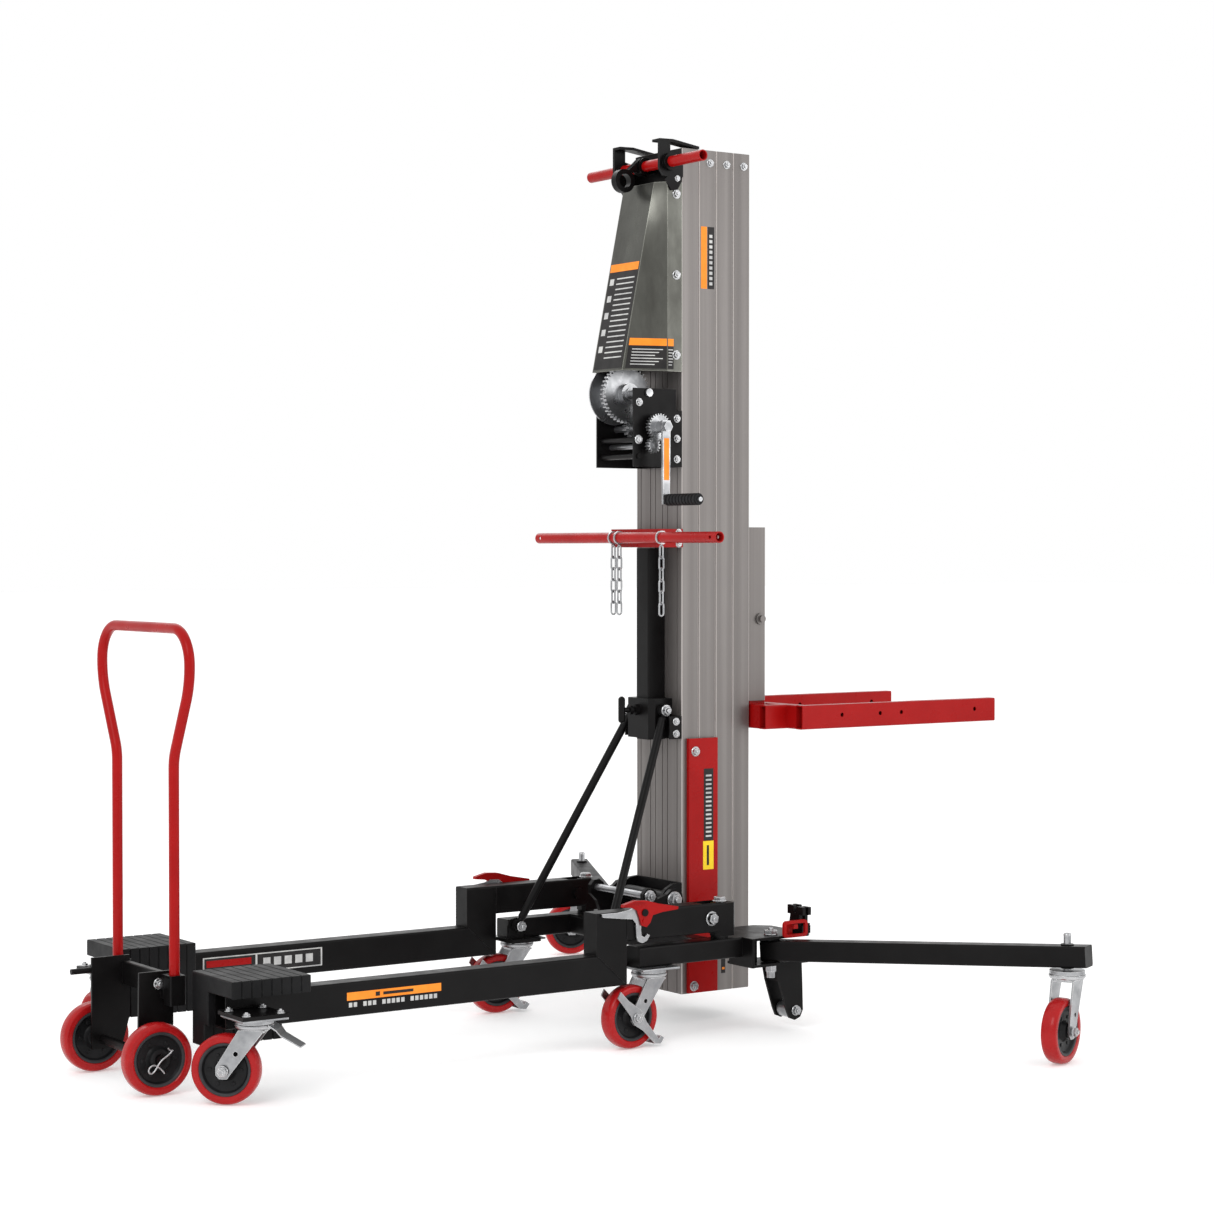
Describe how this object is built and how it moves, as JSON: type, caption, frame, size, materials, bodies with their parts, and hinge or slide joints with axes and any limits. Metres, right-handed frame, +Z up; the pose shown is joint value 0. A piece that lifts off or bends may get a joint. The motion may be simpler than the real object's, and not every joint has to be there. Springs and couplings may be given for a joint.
{
  "type": "material lift",
  "caption": "Counterbalanced mobile material lift: telescoping aluminium mast with forks, hand winch, swinging outriggers, hinged rear legs, counterweights and a tow dolly.",
  "frame": {"origin": "on the floor, at the bottom centre of the whole object, midway between the braked casters", "axes": "+X forward along the forks, +Y to the left, +Z up"},
  "size_m": [2.284, 1.9622, 2.031],
  "materials": {
    "black_paint": "satin powder coat",
    "red_paint": "gloss powder coat",
    "zinc_plate": "bright zinc",
    "mast_aluminium": "mill finish extrusion",
    "galvanised_sheet": "dull galvanised",
    "cast_weight": "painted casting",
    "red_urethane": "smooth moulded",
    "black_rubber": "ribbed"
  },
  "bodies": {
    "chassis": {"base_frame": "black_paint", "base_hardware": "zinc_plate"},
    "knuckle_left": {"leg_knuckle_left": "black_paint"},
    "leg_left": {"leg_left": "black_paint", "leg_hardware_left": "zinc_plate", "counterweight_left": "cast_weight"},
    "rear_fork_left": {"rear_caster_left_fork": "zinc_plate"},
    "rear_wheel_left": {"rear_caster_left_wheel": "red_urethane"},
    "latch_lever_left": {"latch_lever_left": "red_paint"},
    "latch_hook_left": {"latch_hook_left": "zinc_plate"},
    "brake_fork_left": {"brake_caster_left_fork": "zinc_plate"},
    "brake_wheel_left": {"brake_caster_left_wheel": "red_urethane"},
    "brake_pedal_left": {"brake_pedal_left": "zinc_plate"},
    "outrigger_left": {"outrigger_left": "black_paint"},
    "front_fork_left": {"front_caster_left_fork": "zinc_plate"},
    "front_wheel_left": {"front_caster_left_wheel": "red_urethane"},
    "outrigger_lock_left": {"outrigger_lock_left": "red_paint"},
    "skid_roller_left": {"skid_roller_left": "zinc_plate"},
    "knuckle_right": {"leg_knuckle_right": "black_paint"},
    "leg_right": {"leg_right": "black_paint", "leg_hardware_right": "zinc_plate", "counterweight_right": "cast_weight"},
    "rear_fork_right": {"rear_caster_right_fork": "zinc_plate"},
    "rear_wheel_right": {"rear_caster_right_wheel": "red_urethane"},
    "latch_lever_right": {"latch_lever_right": "red_paint"},
    "latch_hook_right": {"latch_hook_right": "zinc_plate"},
    "brake_fork_right": {"brake_caster_right_fork": "zinc_plate"},
    "brake_wheel_right": {"brake_caster_right_wheel": "red_urethane"},
    "brake_pedal_right": {"brake_pedal_right": "zinc_plate"},
    "outrigger_right": {"outrigger_right": "black_paint"},
    "front_fork_right": {"front_caster_right_fork": "zinc_plate"},
    "front_wheel_right": {"front_caster_right_wheel": "red_urethane"},
    "outrigger_lock_right": {"outrigger_lock_right": "red_paint"},
    "skid_roller_right": {"skid_roller_right": "zinc_plate"},
    "dolly": {"dolly_frame": "black_paint", "dolly_handle": "red_paint"},
    "dolly_wheel_left": {"dolly_wheel_left": "red_urethane"},
    "dolly_wheel_right": {"dolly_wheel_right": "red_urethane"},
    "mast_1": {"mast_section_1": "mast_aluminium", "guide_rail": "black_paint", "side_channels": "red_paint", "cable_cover": "galvanised_sheet", "top_bracket": "black_paint", "tie_bars": "red_paint", "winch_frame": "black_paint"},
    "collar": {"collar": "black_paint"},
    "collar_knob": {"collar_knob": "black_paint"},
    "brace_left": {"brace_left": "black_paint"},
    "brace_right": {"brace_right": "black_paint"},
    "winch_drum": {"winch_drum": "zinc_plate"},
    "winch_crank": {"winch_crank": "zinc_plate"},
    "winch_low_gear": {"winch_low_gear": "zinc_plate"},
    "crank_grip": {"crank_grip": "black_rubber"},
    "mast_2": {"mast_section_2": "mast_aluminium"},
    "mast_3": {"mast_section_3": "mast_aluminium"},
    "mast_4": {"mast_section_4": "mast_aluminium"},
    "carriage": {"carriage": "mast_aluminium", "fork_frame": "red_paint"},
    "chain_left": {"chain_left": "zinc_plate"},
    "chain_right": {"chain_right": "zinc_plate"}
  },
  "joints": [
    {"name": "leg_swing_left", "type": "hinge", "parent": "chassis", "child": "knuckle_left", "pos_m": [0.253, 0.268, 0.26], "axis": [0, 0, -1], "range_deg": [0, 90]},
    {"name": "leg_lift_left", "type": "hinge", "parent": "knuckle_left", "child": "leg_left", "pos_m": [0.213, 0.268, 0.27], "axis": [0, 1, 0], "range_deg": [0, 12]},
    {"name": "rear_swivel_left", "type": "hinge", "parent": "leg_left", "child": "rear_fork_left", "pos_m": [-0.951, 0.35, 0.155], "axis": [0, 0, 1], "continuous": true},
    {"name": "rear_wheel_spin_left", "type": "hinge", "parent": "rear_fork_left", "child": "rear_wheel_left", "pos_m": [-0.99269, 0.31113, 0.07], "axis": [-0.682, 0.7314, 0], "continuous": true},
    {"name": "latch_throw_left", "type": "hinge", "parent": "leg_left", "child": "latch_lever_left", "pos_m": [0.022, 0.302, 0.299], "axis": [0, -1, 0], "range_deg": [0, 120]},
    {"name": "latch_hook_turn_left", "type": "hinge", "parent": "leg_left", "child": "latch_hook_left", "pos_m": [0.022, 0.297, 0.299], "axis": [0, -1, 0], "range_deg": [0, 18.1]},
    {"name": "brake_swivel_left", "type": "hinge", "parent": "chassis", "child": "brake_fork_left", "pos_m": [0.057, 0.27, 0.155], "axis": [0, 0, 1], "continuous": true},
    {"name": "brake_wheel_spin_left", "type": "hinge", "parent": "brake_fork_left", "child": "brake_wheel_left", "pos_m": [0.00022, 0.27497, 0.07], "axis": [0.0872, 0.9962, 0], "continuous": true},
    {"name": "brake_pedal_turn_left", "type": "hinge", "parent": "brake_fork_left", "child": "brake_pedal_left", "pos_m": [0.00022, 0.27497, 0.07], "axis": [-0.0872, -0.9962, 0], "range_deg": [0, 25]},
    {"name": "outrigger_swing_left", "type": "hinge", "parent": "chassis", "child": "outrigger_left", "pos_m": [0.378, 0.295, 0.188], "axis": [0, 0, -1], "range_deg": [0, 62]},
    {"name": "front_swivel_left", "type": "hinge", "parent": "outrigger_left", "child": "front_fork_left", "pos_m": [0.686, 0.927, 0.17], "axis": [0, 0, 1], "continuous": true},
    {"name": "front_wheel_spin_left", "type": "hinge", "parent": "front_fork_left", "child": "front_wheel_left", "pos_m": [0.65633, 0.93899, 0.07], "axis": [0.3746, 0.9272, 0], "continuous": true},
    {"name": "outrigger_lock_lift_left", "type": "slide", "parent": "chassis", "child": "outrigger_lock_left", "axis": [0, 0, 1], "range_m": [0, 0.02]},
    {"name": "skid_roller_spin_left", "type": "hinge", "parent": "chassis", "child": "skid_roller_left", "pos_m": [0.45, 0.268, 0.042], "axis": [0, 1, 0], "continuous": true},
    {"name": "leg_swing_right", "type": "hinge", "parent": "chassis", "child": "knuckle_right", "pos_m": [0.253, -0.268, 0.26], "axis": [0, 0, 1], "range_deg": [0, 90]},
    {"name": "leg_lift_right", "type": "hinge", "parent": "knuckle_right", "child": "leg_right", "pos_m": [0.213, -0.268, 0.27], "axis": [0, 1, 0], "range_deg": [0, 12]},
    {"name": "rear_swivel_right", "type": "hinge", "parent": "leg_right", "child": "rear_fork_right", "pos_m": [-0.951, -0.35, 0.155], "axis": [0, 0, 1], "continuous": true},
    {"name": "rear_wheel_spin_right", "type": "hinge", "parent": "rear_fork_right", "child": "rear_wheel_right", "pos_m": [-0.99269, -0.31113, 0.07], "axis": [0.682, 0.7314, 0], "continuous": true},
    {"name": "latch_throw_right", "type": "hinge", "parent": "leg_right", "child": "latch_lever_right", "pos_m": [0.022, -0.302, 0.299], "axis": [0, -1, 0], "range_deg": [0, 120]},
    {"name": "latch_hook_turn_right", "type": "hinge", "parent": "leg_right", "child": "latch_hook_right", "pos_m": [0.022, -0.297, 0.299], "axis": [0, -1, 0], "range_deg": [0, 18.1]},
    {"name": "brake_swivel_right", "type": "hinge", "parent": "chassis", "child": "brake_fork_right", "pos_m": [0.057, -0.27, 0.155], "axis": [0, 0, 1], "continuous": true},
    {"name": "brake_wheel_spin_right", "type": "hinge", "parent": "brake_fork_right", "child": "brake_wheel_right", "pos_m": [0.00022, -0.27497, 0.07], "axis": [-0.0872, 0.9962, 0], "continuous": true},
    {"name": "brake_pedal_turn_right", "type": "hinge", "parent": "brake_fork_right", "child": "brake_pedal_right", "pos_m": [0.00022, -0.27497, 0.07], "axis": [0.0872, -0.9962, 0], "range_deg": [0, 25]},
    {"name": "outrigger_swing_right", "type": "hinge", "parent": "chassis", "child": "outrigger_right", "pos_m": [0.378, -0.295, 0.188], "axis": [0, 0, 1], "range_deg": [0, 62]},
    {"name": "front_swivel_right", "type": "hinge", "parent": "outrigger_right", "child": "front_fork_right", "pos_m": [0.686, -0.927, 0.17], "axis": [0, 0, 1], "continuous": true},
    {"name": "front_wheel_spin_right", "type": "hinge", "parent": "front_fork_right", "child": "front_wheel_right", "pos_m": [0.65633, -0.93899, 0.07], "axis": [-0.3746, 0.9272, 0], "continuous": true},
    {"name": "outrigger_lock_lift_right", "type": "slide", "parent": "chassis", "child": "outrigger_lock_right", "axis": [0, 0, 1], "range_m": [0, 0.02]},
    {"name": "skid_roller_spin_right", "type": "hinge", "parent": "chassis", "child": "skid_roller_right", "pos_m": [0.45, -0.268, 0.042], "axis": [0, 1, 0], "continuous": true},
    {"name": "dolly_pull", "type": "slide", "parent": "leg_left", "child": "dolly", "axis": [-1, 0, 0], "range_m": [0, 0.3]},
    {"name": "dolly_wheel_spin_left", "type": "hinge", "parent": "dolly", "child": "dolly_wheel_left", "pos_m": [-1.069, 0.152, 0.073], "axis": [0, 1, 0], "continuous": true},
    {"name": "dolly_wheel_spin_right", "type": "hinge", "parent": "dolly", "child": "dolly_wheel_right", "pos_m": [-1.069, -0.152, 0.073], "axis": [0, 1, 0], "continuous": true},
    {"name": "mast_tilt", "type": "hinge", "parent": "chassis", "child": "mast_1", "pos_m": [0.241, 0, 0.29], "axis": [0, -1, 0], "range_deg": [0, 55]},
    {"name": "collar_slide", "type": "slide", "parent": "mast_1", "child": "collar", "axis": [0, 0, 1], "range_m": [0, 0.2454]},
    {"name": "collar_knob_turn", "type": "hinge", "parent": "collar", "child": "collar_knob", "pos_m": [0.2, 0, 0.722], "axis": [1, 0, 0], "continuous": true},
    {"name": "brace_turn_left", "type": "hinge", "parent": "chassis", "child": "brace_left", "pos_m": [0.003, 0.178, 0.216], "axis": [0, -1, 0], "range_deg": [0, 60]},
    {"name": "brace_turn_right", "type": "hinge", "parent": "chassis", "child": "brace_right", "pos_m": [0.003, -0.178, 0.216], "axis": [0, -1, 0], "range_deg": [0, 60]},
    {"name": "crank_spin", "type": "hinge", "parent": "mast_1", "child": "winch_crank", "pos_m": [0.197, 0, 1.3712], "axis": [0, 1, 0], "range_deg": [0, 28085]},
    {"name": "drum_spin", "type": "hinge", "parent": "mast_1", "child": "winch_drum", "pos_m": [0.183, 0, 1.45], "axis": [0, 1, 0], "range_deg": [-7020.5, 0]},
    {"name": "low_gear_spin", "type": "hinge", "parent": "mast_1", "child": "winch_low_gear", "pos_m": [0.18161, 0, 1.32891], "axis": [0, 1, 0], "range_deg": [-52150, 0]},
    {"name": "grip_spin", "type": "hinge", "parent": "winch_crank", "child": "crank_grip", "pos_m": [0.197, -0.206, 1.2052], "axis": [0, 1, 0], "continuous": true},
    {"name": "mast_rise_2", "type": "slide", "parent": "mast_1", "child": "mast_2", "axis": [0, 0, 1], "range_m": [0, 1.4]},
    {"name": "mast_rise_3", "type": "slide", "parent": "mast_2", "child": "mast_3", "axis": [0, 0, 1], "range_m": [0, 1.401]},
    {"name": "mast_rise_4", "type": "slide", "parent": "mast_3", "child": "mast_4", "axis": [0, 0, 1], "range_m": [0, 1.401]},
    {"name": "carriage_rise", "type": "slide", "parent": "mast_4", "child": "carriage", "axis": [0, 0, 1], "range_m": [0, 0.781]},
    {"name": "chain_swing_left", "type": "hinge", "parent": "mast_1", "child": "chain_left", "pos_m": [0.182, 0.036, 1.12], "axis": [0, 1, 0], "range_deg": [-8, 60]},
    {"name": "chain_swing_right", "type": "hinge", "parent": "mast_1", "child": "chain_right", "pos_m": [0.182, -0.143, 1.12], "axis": [0, 1, 0], "range_deg": [-55, 60]}
  ],
  "couplings": [
    {"joint": "latch_hook_turn_left", "follows": "latch_throw_left", "ratio": 0.15},
    {"joint": "latch_hook_turn_right", "follows": "latch_throw_right", "ratio": 0.15},
    {"joint": "collar_slide", "follows": "mast_tilt", "m_per_rad": 0.25462},
    {"joint": "brace_turn_left", "follows": "mast_tilt", "ratio": 1.0826},
    {"joint": "brace_turn_right", "follows": "mast_tilt", "ratio": 1.0826},
    {"joint": "crank_spin", "follows": "mast_rise_2", "rad_per_m": 350.06},
    {"joint": "drum_spin", "follows": "mast_rise_2", "rad_per_m": -87.516},
    {"joint": "low_gear_spin", "follows": "mast_rise_2", "rad_per_m": -650.12},
    {"joint": "mast_rise_3", "follows": "mast_rise_2", "ratio": 1},
    {"joint": "mast_rise_4", "follows": "mast_rise_2", "ratio": 1},
    {"joint": "carriage_rise", "follows": "mast_rise_2", "ratio": 0.55714}
  ]
}
